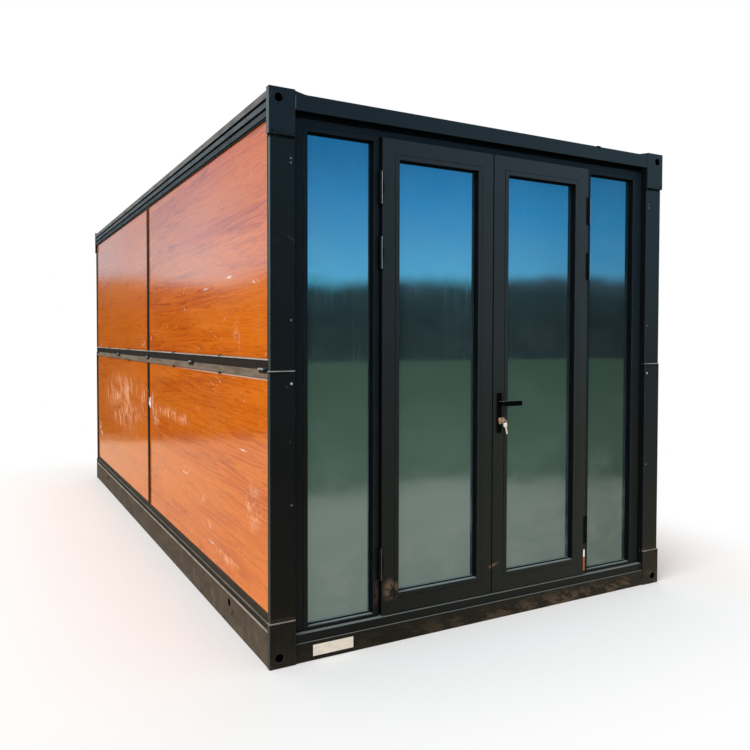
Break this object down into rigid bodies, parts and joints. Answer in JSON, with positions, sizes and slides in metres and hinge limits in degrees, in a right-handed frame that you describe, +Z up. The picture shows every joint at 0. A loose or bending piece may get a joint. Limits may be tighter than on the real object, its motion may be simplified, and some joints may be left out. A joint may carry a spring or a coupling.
{
  "type": "folding container cabin",
  "caption": "Folding steel-framed container cabin with gloss wood-grain side walls and a mirror-glazed front with outward opening double doors.",
  "frame": {"origin": "on the ground at the middle of the base", "axes": "+Z up, the glazed front with the doors looks towards -Y, the long walls stand at -X and +X"},
  "size_m": [2.42, 5.026, 2.5],
  "materials": {
    "painted_steel": "satin black paint, dusty",
    "hinge_steel": "black coated steel",
    "wood_laminate": "high-gloss wood-grain laminate, scuffed",
    "powder_coated_aluminium": "fine matt powder coat",
    "mirror_glass": "blue reflective coating",
    "floor_board": "cement board, plain",
    "ceiling_panel": "white lining sheet",
    "roof_sheet": "grey painted sheet, dusty",
    "door_hardware": "satin black",
    "brass": "worn brass",
    "label_plate": "bare pale plate"
  },
  "bodies": {
    "cabin": {"base_beam_front": "painted_steel", "base_beam_rear": "painted_steel", "base_rail_left": "painted_steel", "base_rail_right": "painted_steel", "blank_plate": "label_plate", "bottom_corner_blocks_front": "painted_steel", "bottom_corner_blocks_rear": "painted_steel", "door_hinges_fixed": "hinge_steel", "floor_deck": "floor_board", "floor_joists": "painted_steel", "fold_hinges_left": "hinge_steel", "fold_hinges_right": "hinge_steel", "front_head": "powder_coated_aluminium", "front_jambs": "powder_coated_aluminium", "front_mullion_left": "powder_coated_aluminium", "front_mullion_right": "powder_coated_aluminium", "front_sill": "powder_coated_aluminium", "lower_boards_left": "wood_laminate", "lower_boards_right": "wood_laminate", "lower_posts_front": "painted_steel", "lower_posts_rear": "painted_steel", "lower_wall_frame_left": "painted_steel", "lower_wall_frame_right": "painted_steel", "rear_boards": "wood_laminate", "rear_wall_frame": "painted_steel", "roof_beam_front": "painted_steel", "roof_beam_rear": "painted_steel", "roof_panel": "ceiling_panel", "roof_rail_left": "painted_steel", "roof_rail_right": "painted_steel", "roof_sheet": "roof_sheet", "sidelight_glass": "mirror_glass", "top_corner_blocks_front": "painted_steel", "top_corner_blocks_rear": "painted_steel", "upper_boards_left": "wood_laminate", "upper_boards_right": "wood_laminate", "upper_posts_front": "painted_steel", "upper_posts_rear": "painted_steel", "upper_wall_frame_left": "painted_steel", "upper_wall_frame_right": "painted_steel"},
    "left_leaf": {"left_leaf_frame": "powder_coated_aluminium", "left_leaf_glass": "mirror_glass", "left_leaf_hinges": "hinge_steel"},
    "right_leaf": {"right_leaf_frame": "powder_coated_aluminium", "right_leaf_glass": "mirror_glass", "right_leaf_hinges": "hinge_steel", "handle_plates": "door_hardware", "lock_cylinder": "brass", "lock_key": "brass"},
    "lever": {"door_lever": "door_hardware"}
  },
  "joints": [
    {"name": "left_door_hinge", "type": "hinge", "parent": "cabin", "child": "left_leaf", "pos_m": [-0.654, -2.48, 1.25], "axis": [0, 0, -1], "range_deg": [0, 110]},
    {"name": "right_door_hinge", "type": "hinge", "parent": "cabin", "child": "right_leaf", "pos_m": [0.654, -2.48, 1.25], "axis": [0, 0, 1], "range_deg": [0, 110]},
    {"name": "lever_turn", "type": "hinge", "parent": "right_leaf", "child": "lever", "pos_m": [0.039, -2.52, 1.103], "axis": [0, 1, 0], "range_deg": [0, 40], "stiffness_Nm_per_rad": 1, "springref_deg": -17.19}
  ]
}
